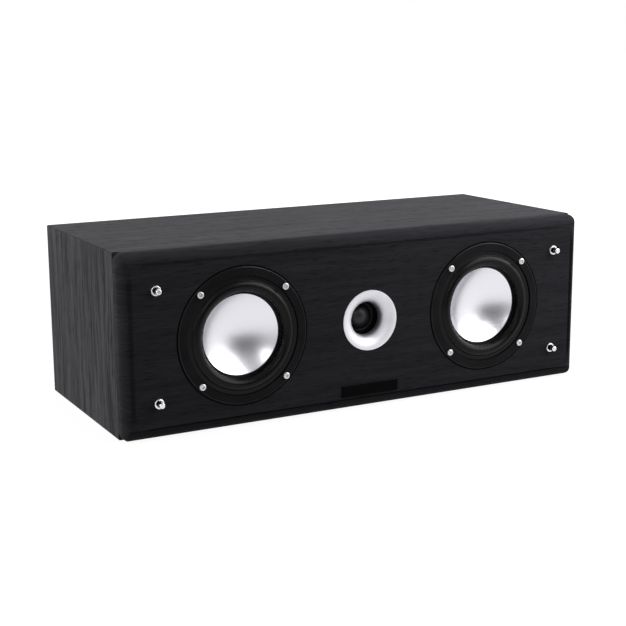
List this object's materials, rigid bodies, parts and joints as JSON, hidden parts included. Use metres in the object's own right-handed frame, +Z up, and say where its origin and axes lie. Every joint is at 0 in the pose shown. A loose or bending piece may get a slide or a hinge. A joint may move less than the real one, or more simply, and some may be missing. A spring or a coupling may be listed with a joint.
{
  "type": "center channel speaker",
  "caption": "Low, wide wood-grain loudspeaker with metal-cone woofers beside a flared dome tweeter, grille pegs in front, and a reflex port and binding posts behind.",
  "frame": {"origin": "middle of the cabinet's footprint, on the surface that it stands on", "axes": "+X along the cabinet to the right as the listener sees it, +Z up, the front faces -Y"},
  "size_m": [0.498, 0.2166, 0.17],
  "materials": {
    "black_grain": "black wood-grain vinyl on fibreboard, satin",
    "black_board": "black-faced fibreboard, matt",
    "wadding": "loose polyester felt",
    "plate_black": "black, bevelled, bare",
    "bright_plating": "bright plating",
    "gasket_foam": "closed-cell foam",
    "frame_black": "black semi-matt coat on a cast frame",
    "surround_rubber": "smooth black rubber",
    "cone_silver": "satin silver",
    "former_metal": "thin rolled sheet",
    "copper": "enamelled copper wire",
    "spider_cloth": "resin-dipped cloth, corrugated",
    "motor_steel": "zinc plated",
    "ferrite": "ground ferrite",
    "strip_board": "phenolic board",
    "lead_cover": "soft lead cover",
    "screw_steel": "bright zinc plated",
    "screw_black": "black oxide",
    "horn_silver": "satin silver with a bright rim",
    "moulding_black": "moulded black, fine grain",
    "dome_cloth": "coated black cloth",
    "post_plating": "gold-coloured plating",
    "nut_red": "red, moulded",
    "nut_black": "black, moulded",
    "capacitor_sleeve": "shrunk sleeve",
    "resistor_body": "cast cement"
  },
  "bodies": {
    "cabinet": {"cabinet_wrap": "black_grain", "choke_bobbin": "moulding_black", "choke_winding": "copper", "crossover_board": "strip_board", "crossover_capacitors": "capacitor_sleeve", "crossover_resistor": "resistor_body", "crossover_screws": "screw_steel", "crossover_spacers": "moulding_black", "cup_gasket": "gasket_foam", "cup_screws": "screw_black", "front_baffle": "black_grain", "grille_pegs": "bright_plating", "input_leads": "lead_cover", "nameplate": "plate_black", "port_tube": "moulding_black", "post_black": "post_plating", "post_lock_nuts": "screw_steel", "post_red": "post_plating", "rear_panel": "black_board", "terminal_cup": "moulding_black", "tweeter_choke": "copper", "tweeter_coil": "copper", "tweeter_dome": "dome_cloth", "tweeter_faceplate": "moulding_black", "tweeter_horn": "horn_silver", "tweeter_lead": "lead_cover", "tweeter_magnet": "ferrite", "tweeter_screws": "screw_steel", "tweeter_terminals": "strip_board", "tweeter_top_plate": "motor_steel", "tweeter_yoke": "motor_steel", "wadding": "wadding", "woofer_basket_left": "frame_black", "woofer_basket_right": "frame_black", "woofer_gasket_left": "gasket_foam", "woofer_gasket_right": "gasket_foam", "woofer_lead_left": "lead_cover", "woofer_lead_right": "lead_cover", "woofer_magnet_left": "ferrite", "woofer_magnet_right": "ferrite", "woofer_screws": "screw_steel", "woofer_spider_left": "spider_cloth", "woofer_spider_right": "spider_cloth", "woofer_surround_left": "surround_rubber", "woofer_surround_right": "surround_rubber", "woofer_terminals_left": "strip_board", "woofer_terminals_right": "strip_board", "woofer_top_plate_left": "motor_steel", "woofer_top_plate_right": "motor_steel", "woofer_yoke_left": "motor_steel", "woofer_yoke_right": "motor_steel"},
    "woofer_left": {"woofer_cone_left": "cone_silver", "woofer_former_left": "former_metal", "woofer_coil_left": "copper"},
    "woofer_right": {"woofer_cone_right": "cone_silver", "woofer_former_right": "former_metal", "woofer_coil_right": "copper"},
    "nut_red": {"thumb_nut_red": "nut_red"},
    "nut_black": {"thumb_nut_black": "nut_black"}
  },
  "joints": [
    {"name": "woofer_left_travel", "type": "slide", "parent": "cabinet", "child": "woofer_left", "axis": [0, -1, 0], "range_m": [-0.004, 0.004], "stiffness_N_per_m": 1200, "deforming": ["woofer_surround_left", "woofer_spider_left"]},
    {"name": "woofer_right_travel", "type": "slide", "parent": "cabinet", "child": "woofer_right", "axis": [0, -1, 0], "range_m": [-0.004, 0.004], "stiffness_N_per_m": 1200, "deforming": ["woofer_surround_right", "woofer_spider_right"]},
    {"name": "nut_red_turn", "type": "hinge", "parent": "cabinet", "child": "nut_red", "pos_m": [-0.012, 0.09, 0.08625], "axis": [0, 1, 0], "range_deg": [0, 900]},
    {"name": "nut_black_turn", "type": "hinge", "parent": "cabinet", "child": "nut_black", "pos_m": [0.012, 0.09, 0.08625], "axis": [0, 1, 0], "range_deg": [0, 900]}
  ]
}
